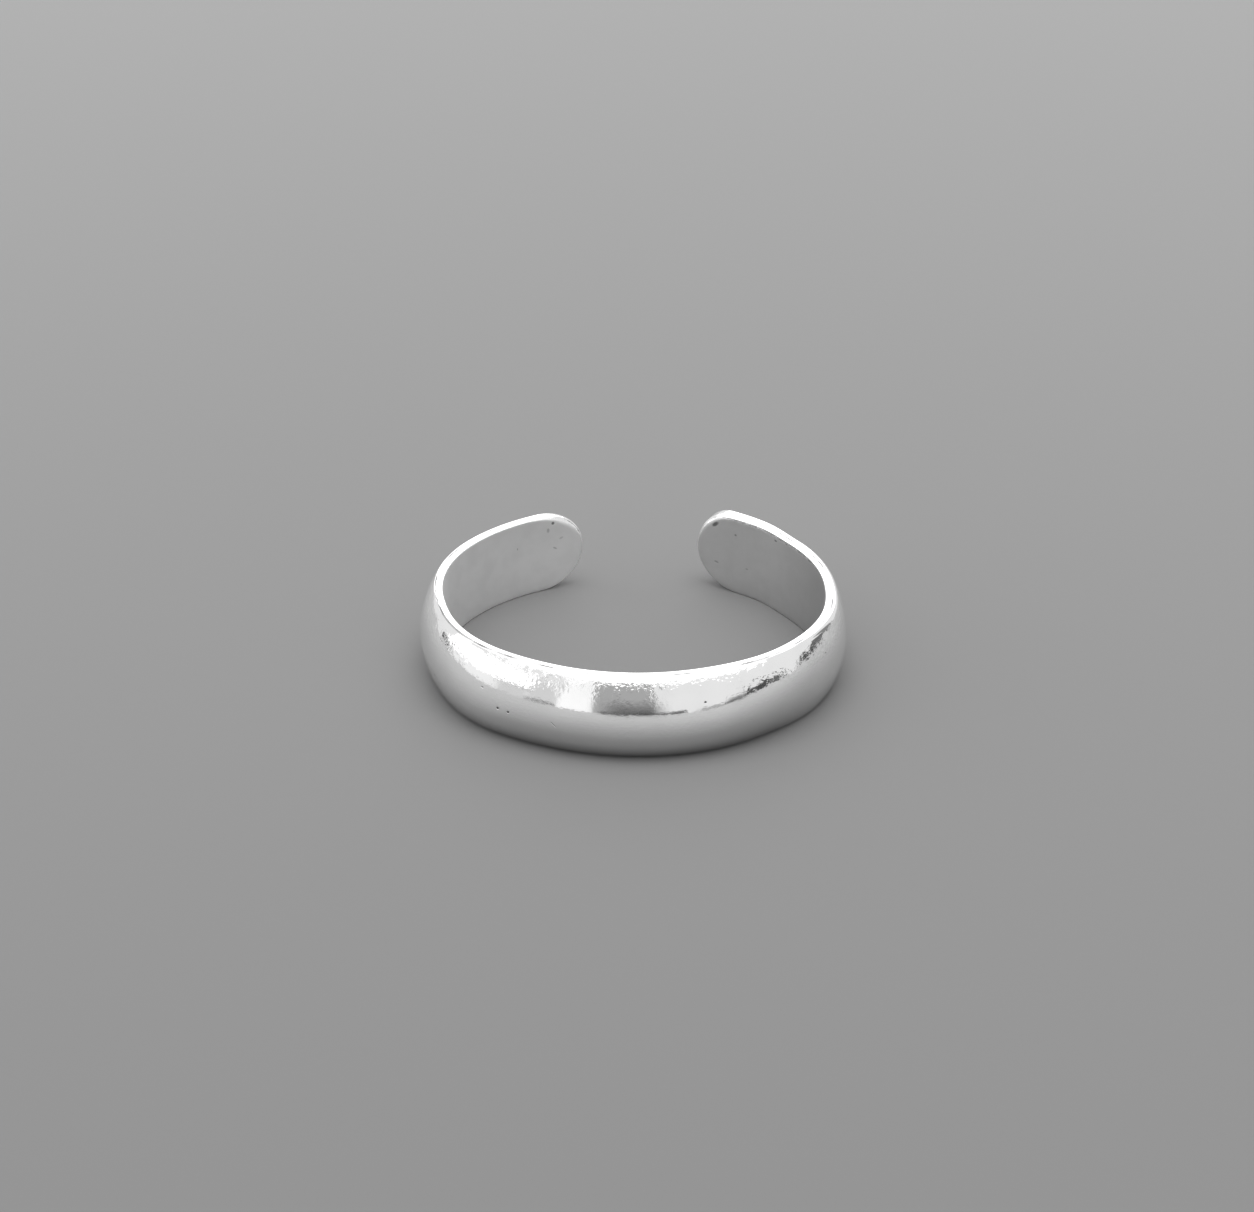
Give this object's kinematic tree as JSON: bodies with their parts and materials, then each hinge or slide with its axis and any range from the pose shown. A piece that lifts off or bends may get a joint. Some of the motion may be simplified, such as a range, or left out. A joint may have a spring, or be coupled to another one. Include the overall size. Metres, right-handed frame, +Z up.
{
  "type": "toe ring",
  "caption": "Plain open toe ring: a half-round band, domed outside and smooth inside, with rounded ends and a gap that lets it be squeezed to fit.",
  "frame": {"origin": "on the axis of the bore, in the plane of the lower edge that the ring rests on", "axes": "+Z up along the bore, +Y from the bore's axis through the middle of the gap, +X to the right of it seen from the closed side"},
  "size_m": [0.0168, 0.0159, 0.0033],
  "materials": {
    "silver": "polished silver with fine wear scratches and pits outside, satin inside"
  },
  "bodies": {
    "root": {"band": "silver"}
  },
  "joints": []
}
